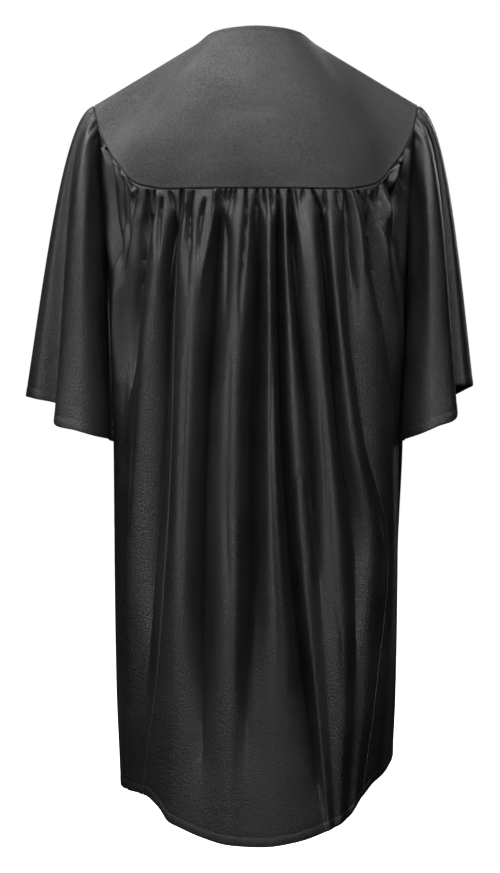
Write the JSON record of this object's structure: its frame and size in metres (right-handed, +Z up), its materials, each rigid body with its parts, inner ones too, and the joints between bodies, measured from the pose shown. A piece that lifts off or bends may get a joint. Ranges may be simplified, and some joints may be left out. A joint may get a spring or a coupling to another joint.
{
  "type": "choir robe",
  "caption": "Child's black satin choir robe, filled out as worn, with a smooth yoke, a gathered body, bell sleeves and a front zip whose pull tab swings.",
  "frame": {"origin": "centre of the neck opening, level with the points where the shoulder line meets the neck; the wearer's shoulders carry the robe there", "axes": "+Z up, -Y towards the robe's front, +Y towards its back, +X towards the wearer's left"},
  "size_m": [0.4985, 0.2601, 0.8794],
  "materials": {
    "satin": "shiny black polyester satin",
    "tape": "matt black woven zip tape with a black coil chain",
    "zip_metal": "black enamelled zip metal"
  },
  "bodies": {
    "robe": {"yoke_back": "satin", "yoke_front_left": "satin", "yoke_front_right": "satin", "back_centre": "satin", "back_side_left": "satin", "back_side_right": "satin", "front_left": "satin", "front_right": "satin", "sleeve_left": "satin", "sleeve_right": "satin", "zip_tape": "tape", "zip_slider": "zip_metal"},
    "pull_tab": {"zip_pull_tab": "zip_metal"}
  },
  "joints": [
    {"name": "pull_tab_hinge", "type": "hinge", "parent": "robe", "child": "pull_tab", "pos_m": [0, -0.08598, -0.07996], "axis": [-1, 0, 0], "range_deg": [0, 150]}
  ]
}
